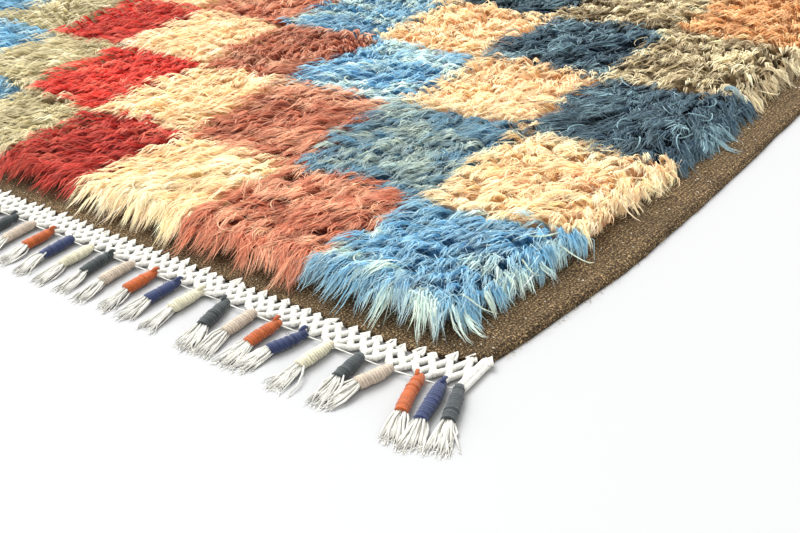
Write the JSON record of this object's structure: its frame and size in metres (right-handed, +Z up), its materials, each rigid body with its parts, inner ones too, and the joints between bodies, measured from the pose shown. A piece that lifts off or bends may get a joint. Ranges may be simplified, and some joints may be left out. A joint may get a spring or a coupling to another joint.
{
  "type": "berber shag rug",
  "caption": "Rectangular hand-knotted shag rug with a checked wool pile, flat-woven selvedges and knotted ends with wrapped tassels, lying flat.",
  "frame": {"origin": "on the floor under the middle of the rug", "axes": "+X across the rug, +Y along it away from the end that the pile leans to, +Z up"},
  "size_m": [1.2292, 1.924, 0.0293],
  "materials": {
    "ground_wool": "heathered undyed brown wool, weft-faced flat weave",
    "pile_wool": "long hand-knotted wool locks, dyed in a diagonal colour check",
    "fringe_cotton": "knotted white cotton warps, tassel heads wrapped in coloured yarn"
  },
  "bodies": {
    "root": {"ground_weave": "ground_wool", "pile": "pile_wool", "fringe_front": "fringe_cotton", "fringe_back": "fringe_cotton"}
  },
  "joints": []
}
